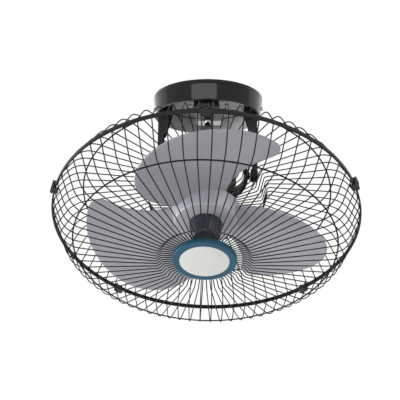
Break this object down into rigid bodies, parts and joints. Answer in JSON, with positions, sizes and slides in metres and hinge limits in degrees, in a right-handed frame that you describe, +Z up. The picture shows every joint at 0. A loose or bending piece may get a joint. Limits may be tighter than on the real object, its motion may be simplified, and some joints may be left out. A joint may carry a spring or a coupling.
{
  "type": "orbital ceiling fan",
  "caption": "Ceiling fan with a caged, tilted fan head that swings round below a round canopy on a gimbal, with a moulded blade rotor.",
  "frame": {"origin": "centre of the ceiling bolt circle, on the face of the ceiling plate that lies on the ceiling", "axes": "+Z up, out of the ceiling plate's upper face; at rest the fan head leans 28 degrees towards -Y; the yoke pins lie along X"},
  "size_m": [0.47, 0.4272, 0.3628],
  "materials": {
    "ceiling_plate": "glossy black paint",
    "canopy": "glossy black paint",
    "canopy_screws": "zinc plated",
    "crossbar": "satin black paint",
    "crossbar_screws": "zinc plated",
    "yoke_arm_left": "satin black paint",
    "yoke_arm_right": "satin black paint",
    "yoke_screws": "zinc plated",
    "yoke_pins": "zinc plated",
    "pin_clips": "zinc plated",
    "ball_seat": "black moulding",
    "seat_nut": "zinc plated",
    "terminal_box": "black moulding",
    "terminal_lid": "black moulding",
    "terminal_screw": "zinc plated",
    "capacitor": "dark case",
    "cable_grommet": "black rubber",
    "gimbal_ring": "satin black paint",
    "gimbal_bushes": "natural nylon",
    "cross_pins": "zinc plated",
    "output_shaft": "zinc plated",
    "crank_arm": "steel pressing",
    "crank_screw": "zinc plated",
    "ball_stud": "polished steel",
    "stud_sleeve": "black moulding",
    "motor_rear_shell": "black cast housing",
    "motor_front_shell": "black cast housing",
    "motor_bolts": "zinc plated",
    "stator_core": "laminated steel",
    "stator_windings": "enamelled winding wire",
    "rear_bearing": "polished steel",
    "front_bearing": "polished steel",
    "drive_gearbox": "black moulding",
    "gearbox_screws": "zinc plated",
    "rear_hoop": "satin black paint",
    "rear_guard_wires": "black coated wire",
    "rear_guard_rings": "black coated wire",
    "guard_plate": "satin black paint",
    "guard_lock_nut": "black moulding",
    "front_hoop": "satin black paint",
    "front_guard_wires": "black coated wire",
    "front_guard_rings": "black coated wire",
    "badge_back": "zinc plated",
    "badge_screw": "zinc plated",
    "badge_ring": "blue moulding",
    "badge_plate": "off-white plate, bare",
    "clip_lugs": "black moulding",
    "clip_pins": "zinc plated",
    "rotor_core": "laminated steel",
    "motor_shaft": "zinc plated",
    "blade": "grey moulding",
    "blade_nut": "dark blue-grey moulding",
    "drive_pin": "zinc plated",
    "guard_clip_1": "black moulding",
    "guard_clip_2": "black moulding",
    "guard_clip_3": "black moulding",
    "guard_clip_4": "black moulding",
    "guard_clip_5": "black moulding"
  },
  "bodies": {
    "base": {"ceiling_plate": "ceiling_plate", "canopy": "canopy", "canopy_screws": "canopy_screws", "crossbar": "crossbar", "crossbar_screws": "crossbar_screws", "yoke_arm_left": "yoke_arm_left", "yoke_arm_right": "yoke_arm_right", "yoke_screws": "yoke_screws", "yoke_pins": "yoke_pins", "pin_clips": "pin_clips", "ball_seat": "ball_seat", "seat_nut": "seat_nut", "terminal_box": "terminal_box", "terminal_lid": "terminal_lid", "terminal_screw": "terminal_screw", "capacitor": "capacitor", "cable_grommet": "cable_grommet"},
    "gimbal": {"gimbal_ring": "gimbal_ring", "gimbal_bushes": "gimbal_bushes", "cross_pins": "cross_pins"},
    "crank": {"output_shaft": "output_shaft", "crank_arm": "crank_arm", "crank_screw": "crank_screw", "ball_stud": "ball_stud", "stud_sleeve": "stud_sleeve"},
    "head": {"motor_rear_shell": "motor_rear_shell", "motor_front_shell": "motor_front_shell", "motor_bolts": "motor_bolts", "stator_core": "stator_core", "stator_windings": "stator_windings", "rear_bearing": "rear_bearing", "front_bearing": "front_bearing", "drive_gearbox": "drive_gearbox", "gearbox_screws": "gearbox_screws", "rear_hoop": "rear_hoop", "rear_guard_wires": "rear_guard_wires", "rear_guard_rings": "rear_guard_rings", "guard_plate": "guard_plate", "guard_lock_nut": "guard_lock_nut", "front_hoop": "front_hoop", "front_guard_wires": "front_guard_wires", "front_guard_rings": "front_guard_rings", "badge_back": "badge_back", "badge_screw": "badge_screw", "badge_ring": "badge_ring", "badge_plate": "badge_plate", "clip_lugs": "clip_lugs", "clip_pins": "clip_pins"},
    "rotor": {"rotor_core": "rotor_core", "motor_shaft": "motor_shaft", "blade": "blade", "blade_nut": "blade_nut", "drive_pin": "drive_pin"},
    "clip_1": {"guard_clip_1": "guard_clip_1"},
    "clip_2": {"guard_clip_2": "guard_clip_2"},
    "clip_3": {"guard_clip_3": "guard_clip_3"},
    "clip_4": {"guard_clip_4": "guard_clip_4"},
    "clip_5": {"guard_clip_5": "guard_clip_5"}
  },
  "joints": [
    {"name": "orbit", "type": "hinge", "parent": "base", "child": "crank", "pos_m": [0, 0, -0.037], "axis": [0, 0, 1], "continuous": true},
    {"name": "gearbox_turn", "type": "hinge", "parent": "crank", "child": "head", "pos_m": [0, 0, -0.131], "axis": [0, 0.4695, 0.8829], "continuous": true},
    {"name": "gimbal_tilt", "type": "hinge", "parent": "base", "child": "gimbal", "pos_m": [0, 0, -0.131], "axis": [1, 0, 0], "range_deg": [0, 56]},
    {"name": "blade_spin", "type": "hinge", "parent": "head", "child": "rotor", "pos_m": [0, 0, -0.131], "axis": [0, 0.4695, 0.8829], "continuous": true},
    {"name": "clip_1_open", "type": "hinge", "parent": "head", "child": "clip_1", "pos_m": [0.00704, -0.25482, -0.1048], "axis": [-0.9996, -0.0262, 0.0139], "range_deg": [0, 80]},
    {"name": "clip_2_open", "type": "hinge", "parent": "head", "child": "clip_2", "pos_m": [-0.22058, -0.12281, -0.175], "axis": [-0.3697, 0.8204, -0.4362], "range_deg": [0, 80]},
    {"name": "clip_3_open", "type": "hinge", "parent": "head", "child": "clip_3", "pos_m": [-0.15793, 0.1112, -0.29942], "axis": [0.7466, 0.5874, -0.3123], "range_deg": [0, 80]},
    {"name": "clip_4_open", "type": "hinge", "parent": "head", "child": "clip_4", "pos_m": [0.16281, 0.10725, -0.29732], "axis": [0.7278, -0.6055, 0.322], "range_deg": [0, 80]},
    {"name": "clip_5_open", "type": "hinge", "parent": "head", "child": "clip_5", "pos_m": [0.21804, -0.12821, -0.17212], "axis": [-0.3955, -0.8109, 0.4312], "range_deg": [0, 80]}
  ],
  "couplings": [
    {"joint": "gearbox_turn", "follows": "orbit", "ratio": -1}
  ]
}
